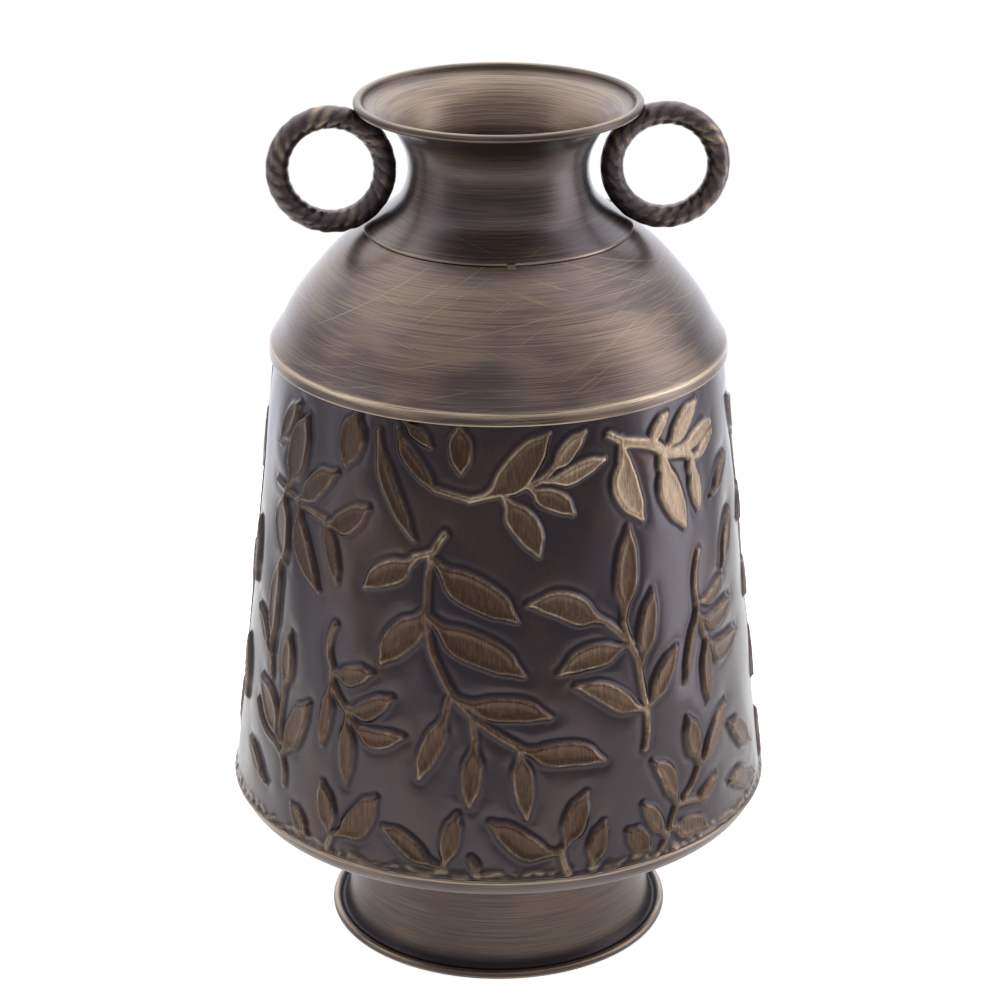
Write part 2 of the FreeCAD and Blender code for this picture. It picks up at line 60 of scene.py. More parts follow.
def meshPiece(name, points, faces, fields=None):
    # a smooth shaded mesh of quads, in metres; fields are numbers kept per vertex for the materials
    mesh = bpy.data.meshes.new(name)
    mesh.vertices.add(len(points))
    mesh.vertices.foreach_set("co", np.asarray(points, dtype=np.float32).ravel())
    mesh.loops.add(faces.size)
    mesh.loops.foreach_set("vertex_index", faces.ravel().astype(np.int32))
    mesh.polygons.add(len(faces))
    corners = faces.shape[1]
    mesh.polygons.foreach_set("loop_start", np.arange(0, faces.size, corners, dtype=np.int32))
    mesh.polygons.foreach_set("loop_total", np.full(len(faces), corners, dtype=np.int32))
    mesh.polygons.foreach_set("use_smooth", np.ones(len(faces), dtype=bool))
    for field, values in (fields or {}).items():
        layer = mesh.attributes.new(field, "FLOAT", "POINT")
        layer.data.foreach_set("value", np.asarray(values, dtype=np.float32).ravel())
    mesh.update(calc_edges=True)
    mesh.validate()
    piece = bpy.data.objects.new(name, mesh)
    bpy.context.scene.collection.objects.link(piece)
    return piece


def standFor(piece, material, slot, *nodes):
    piece.data.materials.append(material)
    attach(piece, "root")
    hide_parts(*nodes)


def smoothStep(low, high, value):
    share = np.clip((value - low) / (high - low), 0, 1)
    return share * share * (3 - 2 * share)


def bump(centre, width, value):
    return np.exp(-((value - centre) / width) ** 2)


def handWaves(angle, height, seed, count, turns, rise):
    # gentle unevenness that closes round the axis: a few waves of chance direction
    chance = np.random.default_rng(seed)
    total = np.zeros(np.broadcast(angle, height).shape)
    for _ in range(count):
        around = chance.integers(-turns, turns + 1)
        up = chance.uniform(-1, 1) * fullTurn / rise
        total += np.sin(around * angle + up * height + chance.uniform(0, fullTurn))
    return total / math.sqrt(count)


def slopeVector(slope):
    return np.array([math.cos(math.radians(slope)), math.sin(math.radians(slope))])


def clampedCurve(points, startSlope, endSlope, step):
    # cubic spline through the points with its end slopes, in steps of about that length
    points = np.array(points, dtype=float)
    spans = np.linalg.norm(np.diff(points, axis=0), axis=1)
    count = len(points)
    matrix = np.zeros((count, count))
    target = np.zeros((count, 2))
    matrix[0, 0] = matrix[-1, -1] = 1
    target[0] = slopeVector(startSlope)
    target[-1] = slopeVector(endSlope)
    for i in range(1, count - 1):
        before, after = spans[i - 1], spans[i]
        matrix[i, i - 1:i + 2] = after, 2 * (before + after), before
        target[i] = 3 * (after / before * (points[i] - points[i - 1]) + before / after * (points[i + 1] - points[i]))
    slopes = np.linalg.solve(matrix, target)
    path = []
    for i, span in enumerate(spans):
        steps = max(2, int(math.ceil(span / step)))
        t = np.linspace(0, 1, steps, endpoint=False)[:, None]
        path.append((2 * t ** 3 - 3 * t ** 2 + 1) * points[i] + (t ** 3 - 2 * t ** 2 + t) * span * slopes[i]
                    + (3 * t ** 2 - 2 * t ** 3) * points[i + 1] + (t ** 3 - t ** 2) * span * slopes[i + 1])
    return np.vstack(path + [points[-1:]])


def rolledEdge(centre, start, turn, steps):
    # arc about centre from start, turning right; start itself is left out
    spoke = np.array(start) - np.array(centre)
    angles = -np.radians(np.linspace(0, turn, steps + 1)[1:])
    return np.stack([centre[0] + spoke[0] * np.cos(angles) - spoke[1] * np.sin(angles),
                     centre[1] + spoke[0] * np.sin(angles) + spoke[1] * np.cos(angles)], axis=1)


def sheetLoop(path, thickness):
    # closed outline of a sheet: the path, and its other face on the left at that thickness
    ahead = np.gradient(path, axis=0)
    ahead /= np.linalg.norm(ahead, axis=1)[:, None]
    left = np.stack([-ahead[:, 1], ahead[:, 0]], axis=1)
    other = path + left * thickness
    end = (path[-1] + other[-1]) / 2 + ahead[-1] * abs(thickness) * edgeBulge
    start = (path[0] + other[0]) / 2 - ahead[0] * abs(thickness) * edgeBulge
    return np.vstack([path, end[None], other[::-1], start[None]])


def spinLoop(name, loop, fields):
    # solid of revolution of a closed outline in millimetres; a field has one number per outline point
    loop = loop * mm
    angle = np.linspace(0, fullTurn, spunColumns, endpoint=False)[None, :]
    radius = np.repeat(loop[:, :1], spunColumns, axis=1)
    height = np.repeat(loop[:, 1:], spunColumns, axis=1)
    points = np.stack([radius * np.sin(angle), -radius * np.cos(angle), height], axis=-1).reshape(-1, 3)
    spread = {field: np.repeat(values, spunColumns) for field, values in fields.items()}
    return meshPiece(name, points, gridFaces(len(loop), spunColumns), spread)


# Shader helpers
class Value:
    # a socket that takes part in sums: each operator adds its Math node
    def __init__(self, shader, socket):
        self.shader = shader
        self.socket = socket

    def maths(self, operation, first, second):
        return self.shader.add("Math", {"operation": operation}, {0: first, 1: second}).value()

    def __add__(self, other):
        return self.maths("ADD", self, other)

    def __radd__(self, other):
        return self.maths("ADD", other, self)

    def __sub__(self, other):
        return self.maths("SUBTRACT", self, other)

    def __rsub__(self, other):
        return self.maths("SUBTRACT", other, self)

    def __mul__(self, other):
        return self.maths("MULTIPLY", self, other)

    def __rmul__(self, other):
        return self.maths("MULTIPLY", other, self)

    def __pow__(self, other):
        return self.maths("POWER", self, other)

    def higher(self, other):
        return self.maths("MAXIMUM", self, other)


class Step:
    # one node that was added, and its outputs
    def __init__(self, shader, node):
        self.shader = shader
        self.node = node

    def value(self, output=0):
        return Value(self.shader, self.node.outputs[output])


class Shader:
    # a node tree and the one method that adds nodes to it
    def __init__(self, tree):
        self.tree = tree
        self.tree.nodes.clear()

    def add(self, kind, settings=None, sockets=None):
        node = self.tree.nodes.new("ShaderNode" + kind)
        for setting, chosen in (settings or {}).items():
            setattr(node, setting, chosen)
        for key, given in (sockets or {}).items():
            if isinstance(given, Value):
                self.tree.links.new(given.socket, node.inputs[key])
            else:
                node.inputs[key].default_value = given
        return Step(self, node)

    def field(self, name):
        return self.add("Attribute", {"attribute_name": name}).value("Fac")

    def place(self):
        return self.add("TexCoord").value("Object")

    def turned(self, vector, turn):
        # a Mapping node scales before it turns, so a slanted grain needs this one first
        return self.add("Mapping", None, {"Vector": vector, "Rotation": turn}).value()

    def noise(self, vector, scale, detail, rough):
        stretched = self.add("Mapping", None, {"Vector": vector, "Scale": scale}).value()
        sockets = {"Vector": stretched, "Scale": 1.0, "Detail": detail, "Roughness": rough}
        return self.add("TexNoise", None, sockets).value("Fac")

    def between(self, value, low, high, lowShare=0.0, highShare=1.0):
        # smooth passage from lowShare to highShare as the value goes from low to high
        sockets = {"Value": value, "From Min": low, "From Max": high, "To Min": lowShare, "To Max": highShare}
        return self.add("MapRange", {"interpolation_type": "SMOOTHSTEP"}, sockets).value()

    def hill(self, value, rise, fall):
        # 0 to 1 over the first range and back to 0 over the second
        return self.between(value, *rise) * self.between(value, *fall, 1.0, 0.0)

    def blend(self, share, first, second):
        # colours as (r, g, b) or values; share 0 keeps the first
        sockets = {mixSockets["share"]: share}
        for key, colour in (("first", first), ("second", second)):
            sockets[mixSockets[key]] = colour if isinstance(colour, Value) else (*colour, 1)
        return self.add("Mix", {"data_type": "RGBA", "clamp_factor": True}, sockets).value(mixSockets["result"])

    def bronze(self, colour, roughness, height, finish, coat):
        # the metal itself, with its fine relief as a Bump node
        relief = self.add("Bump", None, {"Strength": finish["bumpStrength"], "Distance": finish["bumpDepth"],
                                         "Height": height}).value()
        sockets = {"Base Color": colour, "Roughness": roughness, "Metallic": finish["metallic"],
                   "Coat Weight": coat, "Coat Roughness": finish["coatRoughness"], "Normal": relief}
        metal = self.add("BsdfPrincipled", None, sockets).value()
        self.add("OutputMaterial", None, {"Surface": metal})


def newMaterial(name):
    material = bpy.data.materials.new(name)
    material.use_nodes = True
    return material, Shader(material.node_tree)


# Colours of the patina, from its dark lacquer to rubbed brass, and the dark used for painted shade
patina = {
    "lacquer": (0.039, 0.028, 0.0325),
    "tarnish": (0.038, 0.018, 0.010),
    "plum": (0.078, 0.052, 0.051),
    "paintedShade": (0.016, 0.012, 0.015),
    "throat": (0.135, 0.090, 0.070),
    "umber": (0.092, 0.058, 0.047),
    "russet": (0.108, 0.060, 0.041),
    "brown": (0.165, 0.110, 0.090),
    "bronze": (0.115, 0.051, 0.022),
    "olive": (0.285, 0.206, 0.122),
    "gold": (0.430, 0.300, 0.165),
    "brass": (0.620, 0.480, 0.320),
}

# In a finish a noise has its stretch, detail and roughness, two or four numbers are what between takes,
# and the body's raised, painted-shade and crest ranges are distances from the nearest leaf's edge, in metres
bodyFinish = {
    "metallic": 0.92, "coat": 0.55, "coatRoughness": 0.20, "bumpStrength": 0.35, "bumpDepth": 0.0004,
    "brush": {"scale": (1500, 1500, 55), "detail": 4.0, "rough": 0.6},
    "patches": {"scale": (26, 26, 17), "detail": 2.0, "rough": 0.5},
    "mottle": {"scale": (240, 240, 160), "detail": 3.0, "rough": 0.6},
    "raised": (-0.0009, 0.0004), "paintedShade": ((-0.0030, -0.0012), (-0.0010, 0.0)),
    "crest": ((-0.0004, 0.0002), (0.0004, 0.0012)),
    "strokes": (0.42, 1.10), "strokesMottle": 0.20, "strokesGilt": 0.12,
    "rubbed": (0.50, 0.68), "rubbedBrush": (0.20, 0.80, 0.3, 1.0), "rubbedShare": 0.42, "recessShare": 0.5,
    "richPower": 3, "worn": (1.20, 1.80), "wornPatches": 1.4, "wornBrush": 0.3, "wornGilt": 0.80,
    "ridgeLeast": 0.35, "ridgeMottle": 0.5, "coatRecess": 0.55, "coatRaised": 0.30,
    "roughness": 0.30, "roughRaised": 0.10, "roughMottle": 0.10, "roughRubbed": 0.10,
    "brushRelief": 0.25, "mottleRelief": 0.3,
}


def bodyMaterial():
    # edge is the distance inside the nearest leaf or stem, gilt how far its sprig is rubbed to gold
    finish = bodyFinish
    material, shader = newMaterial("embossedBronze")
    place = shader.place()
    edge = shader.field("edge")
    gilt = shader.field("gilt")
    brush = shader.noise(place, **finish["brush"])
    patches = shader.noise(place, **finish["patches"])
    mottle = shader.noise(place, **finish["mottle"])
    raised = shader.between(edge, *finish["raised"])
    paintedShade = shader.hill(edge, *finish["paintedShade"])
    crest = shader.hill(edge, *finish["crest"])
    strokes = brush + finish["strokesMottle"] * mottle + finish["strokesGilt"] * gilt
    strokes = shader.between(strokes, *finish["strokes"])
    rubbed = shader.between(patches, *finish["rubbed"]) * shader.between(brush, *finish["rubbedBrush"])
    ground = shader.blend(rubbed * finish["rubbedShare"], patina["lacquer"], patina["bronze"])
    # painted shade: the ground in the moat just outside each leaf is darkened toward the shade colour
    ground = shader.blend(paintedShade * finish["recessShare"], ground, patina["paintedShade"])
    rich = gilt ** finish["richPower"]
    leafDark = shader.blend(rich, patina["tarnish"], patina["brown"])
    leafLight = shader.blend(rich, patina["bronze"], patina["gold"])
    leaf = shader.blend(strokes, leafDark, leafLight)
    worn = shader.between(mottle + finish["wornPatches"] * patches + finish["wornBrush"] * brush, *finish["worn"])
    leaf = shader.blend(crest * worn * (finish["wornGilt"] * gilt), leaf, patina["brass"])
    colour = shader.blend(raised, ground, leaf)
    ridge = shader.field("ridge") * (finish["ridgeLeast"] + finish["ridgeMottle"] * mottle)
    colour = shader.blend(ridge, colour, patina["olive"])
    roughness = (finish["roughness"] + finish["roughRaised"] * raised
                 + finish["roughMottle"] * (mottle - noiseMean) + finish["roughRubbed"] * rubbed)
    height = brush * (finish["brushRelief"] + raised) + finish["mottleRelief"] * mottle
    coat = finish["coat"] * (1 - finish["coatRecess"] * paintedShade - finish["coatRaised"] * raised)
    shader.bronze(colour, roughness, height, finish, coat)
    return material


spunFinish = {
    "metallic": 0.92, "coat": 0.55, "coatRoughness": 0.22, "bumpStrength": 0.25, "bumpDepth": 0.0003,
    "lines": {"scale": (18, 18, 3400), "detail": 3.0, "rough": 0.6},
    "strokes": {"scale": (34, 34, 3000), "detail": 3.0, "rough": 0.6},
    "patches": {"scale": (17, 17, 30), "detail": 2.0, "rough": 0.5},
    "scratches": {"scale": (15, 15, 1400), "detail": 2.0, "rough": 0.5},
    "scratchTurns": ((0.1, 0.20, 0.3), (0.0, -0.30, -0.2), (0.1, 0.52, 0.0)), "scratched": (0.64, 0.74),
    "worn": (0.66, 1.02), "wornPatches": 0.60, "wornInside": 1.8, "wornShare": 0.8,
    "lined": (0.38, 0.68), "linedInside": 0.15, "linedShare": 0.78, "dark": (0.38, 0.54, 1.0, 0.0),
    "throatShare": 0.6, "shadeShare": 0.9, "edgeStrokes": (0.30, 0.60), "coatShade": 0.8,
    "roughness": 0.34, "roughLines": 0.12, "roughWorn": 0.08, "strokesRelief": 0.6, "scratchRelief": 0.5,
}


def spunMaterial(name, wear, scratches, base):
    # streaks that run round the axis, with long chance scratches across them
    finish = spunFinish
    material, shader = newMaterial(name)
    place = shader.place()
    lines = shader.noise(place, **finish["lines"])
    strokes = shader.noise(place, **finish["strokes"])
    patches = shader.noise(place, **finish["patches"])
    scratch = None
    for turn in finish["scratchTurns"]:
        layer = shader.noise(shader.turned(place, turn), **finish["scratches"])
        layer = shader.between(layer, *finish["scratched"])
        scratch = scratch.higher(layer) if scratch else layer
    edge = shader.field("edge")
    inside = shader.field("inside")
    shade = shader.field("shade")
    worn = shader.between(strokes + finish["wornPatches"] * patches, *finish["worn"]) * wear
    worn = worn * (1 + inside * finish["wornInside"])
    lines = lines + finish["linedInside"] * inside
    lined = shader.between(lines, *finish["lined"]) * finish["linedShare"]
    colour = shader.blend(lined, patina[base[0]], patina[base[1]])
    colour = shader.blend(shader.between(patches, *finish["dark"]) * wear, colour, patina["lacquer"])
    colour = shader.blend(inside * finish["throatShare"], colour, patina["throat"])
    colour = shader.blend(worn * finish["wornShare"], colour, patina["olive"])
    colour = shader.blend(scratch * scratches, colour, patina["olive"])
    colour = shader.blend(shade * finish["shadeShare"], colour, patina["paintedShade"])
    # the edge field's gleams: brass lines, partly rubbed wear and partly painted highlight
    colour = shader.blend(edge * shader.between(strokes, *finish["edgeStrokes"]), colour, patina["brass"])
    roughness = finish["roughness"] + finish["roughLines"] * (lines - noiseMean) + finish["roughWorn"] * worn
    height = lines + finish["strokesRelief"] * strokes + finish["scratchRelief"] * scratch
    coat = finish["coat"] * (1 - finish["coatShade"] * shade)
    shader.bronze(colour, roughness, height, finish, coat)
    return material


castFinish = {
    "metallic": 0.92, "coat": 0.75, "coatRoughness": 0.24, "bumpStrength": 0.4, "bumpDepth": 0.0005,
    "grain": {"scale": (700, 700, 700), "detail": 4.0, "rough": 0.6},
    "patches": {"scale": (60, 60, 60), "detail": 3.0, "rough": 0.6},
    "risen": (-0.35, 0.40), "browned": (0.50, 0.85), "brownedHigh": 0.2, "brownedShare": 0.6,
    "worn": (1.02, 1.60), "wornPatches": 0.9, "wornGrain": 0.3, "roughness": 0.36, "roughGrain": 0.16,
}


def castMaterial(name, wear, lift):
    # high is how far a place stands out, plus a painted highlight on each ring's upper outer side; the solids lack
    # that field, so lift sets theirs
    finish = castFinish
    material, shader = newMaterial(name)
    place = shader.place()
    grain = shader.noise(place, **finish["grain"])
    patches = shader.noise(place, **finish["patches"])
    high = shader.field("high") + lift
    worn = shader.between(high + finish["wornPatches"] * patches + finish["wornGrain"] * grain, *finish["worn"])
    # painted shade in the rope's grooves, plum on its crests, and lighter where the painted highlight lifts high
    colour = shader.blend(shader.between(high, *finish["risen"]), patina["paintedShade"], patina["plum"])
    browned = shader.between(patches + finish["brownedHigh"] * high, *finish["browned"])
    colour = shader.blend(browned * finish["brownedShare"], colour, patina["brown"])
    colour = shader.blend(worn * wear, colour, patina["olive"])
    roughness = finish["roughness"] + finish["roughGrain"] * (grain - noiseMean)
    shader.bronze(colour, roughness, grain, finish, finish["coat"])
    return material


# Leaves and stems, read from the photograph's sprigs on the unrolled wall.
# A leaf: angle and height share of its base, angle and height share of its tip, width share, bend share.
# A stem: angle and height share of its start, middle and end.
sprigs = {
    "hanging": {"gilt": 0.45, "leaves": [
        (-18.5, 0.710, -32.0, 0.622, 0.33, 0.0), (-15.5, 0.713, 4.3, 0.580, 0.31, -0.02),
        (-16.2, 0.603, -27.0, 0.465, 0.35, 0.0), (-16.2, 0.590, 5.7, 0.462, 0.28, -0.02),
        (-9.0, 0.412, 11.3, 0.370, 0.26, 0.0), (-11.2, 0.385, -17.0, 0.228, 0.25, 0.0),
        (-5.1, 0.322, -6.1, 0.175, 0.27, 0.0), (4.5, 0.308, 5.9, 0.148, 0.25, 0.0),
        (4.0, 0.308, 23.2, 0.258, 0.27, 0.02)],
        "stems": [
        (-12.4, 0.762, -14.3, 0.735, -15.8, 0.705), (-15.8, 0.705, -16.2, 0.650, -16.2, 0.600),
        (-16.2, 0.600, -15.4, 0.530, -13.3, 0.478), (-13.3, 0.478, -11.6, 0.445, -10.0, 0.420),
        (-10.0, 0.420, -3.5, 0.358, 4.5, 0.308), (-15.5, 0.720, -17.5, 0.713, -19.5, 0.708),
        (-10.2, 0.422, -11.0, 0.400, -11.4, 0.380), (-5.8, 0.382, -5.4, 0.350, -5.1, 0.318)]},
    "top": {"gilt": 0.60, "leaves": [
        (-4.8, 0.841, 12.3, 0.975, 0.33, -0.07), (6.8, 0.867, 17.8, 0.799, 0.36, 0.02),
        (0.8, 0.853, 9.4, 0.716, 0.35, 0.04)],
        "stems": [
        (-6.8, 0.836, -3.5, 0.844, 0.0, 0.851), (0.0, 0.851, 4.5, 0.862, 9.0, 0.872),
        (9.0, 0.872, 11.0, 0.882, 13.0, 0.898)]},
    "topDark": {"gilt": 0.30, "leaves": [
        (-9.3, 1.000, -8.8, 0.890, 0.42, 0.0), (-25.0, 0.975, -15.0, 0.852, 0.22, -0.06),
        (-30.0, 0.960, -19.8, 0.742, 0.15, -0.06), (-23.0, 0.990, -16.3, 0.941, 0.35, 0.0),
        (-36.0, 1.000, -39.3, 0.866, 0.42, 0.0)],
        "stems": [
        (-15.0, 0.854, -11.0, 0.846, -6.8, 0.838)]},
    "topGold": {"gilt": 0.95, "leaves": [
        (12.0, 0.892, 21.2, 0.969, 0.33, 0.0), (10.5, 0.875, 26.2, 0.905, 0.26, -0.04)],
        "stems": []},
    "leftTop": {"gilt": 0.20, "leaves": [
        (-60.8, 0.759, -53.5, 0.945, 0.34, 0.0), (-56.1, 0.753, -41.7, 0.850, 0.29, 0.0),
        (-45.0, 0.735, -32.0, 0.792, 0.36, -0.10), (-44.5, 0.745, -39.9, 0.614, 0.24, 0.0),
        (-54.2, 0.755, -45.6, 0.580, 0.30, -0.13), (-61.0, 0.760, -59.3, 0.600, 0.44, -0.12),
        (-67.0, 0.850, -58.0, 0.960, 0.30, 0.0)],
        "stems": [
        (-67.0, 0.765, -60.0, 0.758, -54.0, 0.750), (-54.0, 0.750, -49.5, 0.744, -45.0, 0.740)]},
    "left": {"gilt": 0.45, "leaves": [
        (-39.9, 0.421, -28.8, 0.440, 0.38, -0.08), (-35.9, 0.351, -23.8, 0.395, 0.33, -0.12),
        (-33.8, 0.330, -20.8, 0.315, 0.33, -0.20), (-34.8, 0.341, -34.4, 0.180, 0.23, 0.0),
        (-39.8, 0.395, -41.5, 0.248, 0.20, 0.0), (-62.5, 0.380, -72.0, 0.465, 0.28, 0.0),
        (-62.3, 0.385, -61.0, 0.605, 0.20, 0.07)],
        "stems": [
        (-39.7, 0.522, -41.3, 0.472, -39.8, 0.425), (-39.8, 0.425, -39.2, 0.388, -35.2, 0.345),
        (-35.2, 0.345, -34.5, 0.338, -33.8, 0.328), (-61.7, 0.335, -62.0, 0.358, -62.5, 0.380)]},
    "leftLow": {"gilt": 0.43, "leaves": [
        (-55.5, 0.320, -54.3, 0.460, 0.31, 0.0), (-54.7, 0.179, -46.0, 0.330, 0.30, 0.0),
        (-55.3, 0.205, -67.0, 0.320, 0.40, -0.05), (-37.5, 0.053, -40.8, 0.168, 0.38, 0.0),
        (-37.2, 0.060, -26.6, 0.170, 0.37, -0.10), (-44.0, 0.030, -50.0, 0.082, 0.50, 0.0),
        (-60.5, 0.090, -72.0, 0.150, 0.28, 0.0)],
        "stems": [
        (-53.2, 0.120, -54.0, 0.170, -58.0, 0.198), (-58.0, 0.198, -63.5, 0.212, -68.0, 0.255),
        (-54.8, 0.208, -56.0, 0.260, -55.6, 0.320), (-38.6, 0.025, -38.0, 0.040, -37.2, 0.060)]},
    "low": {"gilt": 0.36, "leaves": [
        (-12.5, 0.040, -25.0, 0.108, 0.30, 0.0), (-11.5, 0.035, -8.6, 0.160, 0.30, 0.0),
        (-4.2, 0.025, -5.7, 0.065, 0.40, 0.0), (13.0, 0.070, -1.8, 0.144, 0.32, 0.10),
        (13.5, 0.075, 18.9, 0.196, 0.38, 0.0), (19.3, 0.025, 22.6, 0.125, 0.40, 0.0),
        (33.5, 0.032, 28.0, 0.092, 0.55, 0.0)],
        "stems": [
        (14.4, 0.025, 13.6, 0.045, 13.1, 0.075)]},
    "rightLow": {"gilt": 0.55, "leaves": [
        (37.5, 0.055, 32.0, 0.142, 0.32, 0.0), (41.0, 0.112, 35.2, 0.230, 0.30, -0.10),
        (46.0, 0.105, 54.8, 0.135, 0.35, -0.10), (38.7, 0.071, 50.0, 0.036, 0.38, 0.0),
        (48.4, 0.185, 45.8, 0.299, 0.38, 0.0), (48.5, 0.179, 61.0, 0.282, 0.30, 0.0),
        (73.0, 0.135, 61.5, 0.225, 0.30, 0.0), (74.0, 0.055, 60.0, 0.095, 0.30, 0.0)],
        "stems": [
        (36.4, 0.030, 38.0, 0.058, 40.7, 0.108), (41.0, 0.112, 44.0, 0.110, 46.5, 0.106),
        (43.5, 0.122, 46.3, 0.145, 48.6, 0.182)]},
    "right": {"gilt": 0.60, "leaves": [
        (25.0, 0.558, 6.6, 0.615, 0.32, -0.09), (30.5, 0.502, 13.3, 0.462, 0.31, -0.06),
        (34.3, 0.347, 17.0, 0.432, 0.23, -0.02), (34.3, 0.350, 43.9, 0.465, 0.31, 0.0),
        (29.3, 0.552, 31.7, 0.752, 0.25, 0.0), (33.2, 0.445, 37.6, 0.605, 0.27, 0.0)],
        "stems": [
        (33.4, 0.262, 34.3, 0.305, 34.3, 0.350), (34.3, 0.350, 33.4, 0.402, 32.7, 0.455),
        (32.7, 0.455, 30.5, 0.502, 25.3, 0.555), (31.3, 0.498, 30.0, 0.522, 29.3, 0.552)]},
    "farRight": {"gilt": 0.50, "leaves": [
        (51.8, 0.530, 46.0, 0.379, 0.16, 0.0), (54.5, 0.455, 53.2, 0.308, 0.24, 0.0),
        (52.0, 0.540, 64.0, 0.560, 0.30, -0.12), (52.2, 0.508, 68.0, 0.498, 0.30, -0.15),
        (54.5, 0.452, 70.5, 0.415, 0.33, -0.20), (61.0, 0.745, 73.0, 0.810, 0.30, 0.0),
        (64.0, 0.575, 73.0, 0.685, 0.35, 0.0)],
        "stems": [
        (54.0, 0.645, 51.8, 0.600, 51.7, 0.550), (51.7, 0.550, 52.3, 0.505, 54.5, 0.452)]},
    "rightTop": {"gilt": 1.05, "leaves": [
        (31.8, 0.930, 36.0, 0.758, 0.33, -0.12), (42.8, 0.894, 49.5, 0.709, 0.29, -0.05),
        (53.3, 0.852, 55.3, 0.732, 0.29, 0.0), (48.0, 0.885, 64.5, 0.902, 0.25, 0.0),
        (53.3, 0.852, 64.5, 0.885, 0.26, -0.05), (37.8, 0.914, 46.0, 0.968, 0.35, 0.0),
        (43.9, 0.892, 57.5, 0.968, 0.35, 0.0), (30.5, 0.945, 34.8, 0.810, 0.21, -0.05),
        (41.8, 0.908, 46.4, 0.795, 0.23, -0.03), (52.4, 0.872, 54.3, 0.785, 0.27, 0.0),
        (28.5, 0.950, 45.0, 0.888, 0.12, 0.02), (40.0, 0.905, 56.0, 0.845, 0.12, 0.0)],
        "stems": [
        (27.5, 0.954, 30.0, 0.940, 32.5, 0.925), (32.5, 0.925, 37.5, 0.915, 42.5, 0.895),
        (42.5, 0.895, 48.0, 0.880, 53.3, 0.852)]},
}
sideSprigs = {
    "rightSide": {"gilt": 0.5, "leaves": [
        (90.9, 0.798, 80.5, 0.900, 0.34, 0.0), (90.5, 0.780, 100.0, 0.850, 0.32, 0.0),
        (88.5, 0.680, 79.5, 0.620, 0.32, 0.0), (87.7, 0.641, 98.5, 0.600, 0.32, 0.0),
        (89.5, 0.500, 80.0, 0.440, 0.32, 0.0), (90.5, 0.460, 100.5, 0.420, 0.32, 0.0),
        (91.0, 0.320, 83.0, 0.230, 0.32, 0.0), (91.0, 0.310, 97.5, 0.190, 0.30, 0.0),
        (84.0, 0.030, 88.0, 0.130, 0.34, 0.0), (98.0, 0.030, 92.0, 0.100, 0.34, 0.0)],
        "stems": [
        (90.0, 0.870, 90.8, 0.780, 88.4, 0.680), (88.4, 0.680, 87.6, 0.590, 89.5, 0.500),
        (89.5, 0.500, 91.4, 0.410, 91.0, 0.310)]},
    "leftSide": {"gilt": 0.5, "leaves": [
        (-79.5, 0.500, -82.5, 0.640, 0.26, 0.0), (-80.0, 0.220, -83.5, 0.360, 0.26, 0.0),
        (-98.0, 0.700, -95.5, 0.850, 0.26, 0.0), (-99.0, 0.400, -95.5, 0.540, 0.26, 0.0),
        (-98.0, 0.060, -96.0, 0.200, 0.26, 0.0)],
        "stems": []},
}

# The embossed wall. Lengths are in millimetres, as for every piece below.
# A flank is the range of distances over which a form rises; a bump has a centre and a width.
# Waves have a seed, a count, the most turns round the axis and the least length up the wall.
wall = {
    "base": 70.0, "height": 200.0, "lowRadius": 117.9, "topRadius": 95.8, "sheet": 0.8, "turn": -3.0,
    "low": 72.8, "high": 277.2, "columns": 736, "rows": 226, "innerRows": 14,
    "leafRise": 1.55, "leafFlank": (-1.4, 0.6), "neckHalf": 0.6, "sway": 0.03,
    "stemRise": 1.25, "stemFlank": (-1.2, 0.7), "stemHalf": 1.0, "stemPoints": 9,
    "crestRise": 0.19, "crestBump": (0.8, 0.75), "dish": 0.34, "dishFlank": (0.8, 3.6),
    "moat": 0.19, "moatBump": (-2.3, 1.5), "pillow": 0.14, "pillowFlank": (-3.0, -9.0),
    "reach": 9.0, "reachShare": 0.3, "far": -50.0, "plainEdge": -20.0,
    "plainGilt": 0.45, "stemGilt": 0.08, "giltReach": -2.0,
    "unevenness": 0.24, "waves": {"seed": 5, "count": 14, "turns": 26, "rise": 55},
    "fadeAbove": 1.5, "fadeBelow": 3.0, "lap": 0.95, "lapHeight": 1.5,
    "crinkle": {
        "above": 1.2, "width": 2.4, "depth": 0.60, "flattens": 0.7, "shine": 0.35,
        "rippleMean": 0.5, "rippleDepth": 0.4, "ripple": {"seed": 9, "count": 24, "turns": 150, "rise": 7},
        "ridgeAbove": 2.2, "ridgeWidth": 0.8, "ridgeRise": 0.45, "ridgeFlank": (0.2, 0.6),
        "wander": 1.1, "course": {"seed": 21, "count": 10, "turns": 60, "rise": 9},
    },
}

# A leaf's outline: share of its length, share of its fullest width
leafOutline = clampedCurve([(0.0, 0.0), (0.12, 0.12), (0.28, 0.68), (0.48, 1.0), (0.68, 0.90), (0.87, 0.42),
                            (1.0, 0.0)], 20, -72, 0.02)
leafSlope = np.gradient(leafOutline[:, 1], leafOutline[:, 0])


def wallRadius(height):
    share = (height - wall["base"]) / wall["height"]
    return wall["lowRadius"] + (wall["topRadius"] - wall["lowRadius"]) * share


def onChart(angle, share):
    # a place on the unrolled wall
    height = wall["base"] + wall["height"] * share
    return np.array([math.radians(angle) * wallRadius(height), height])


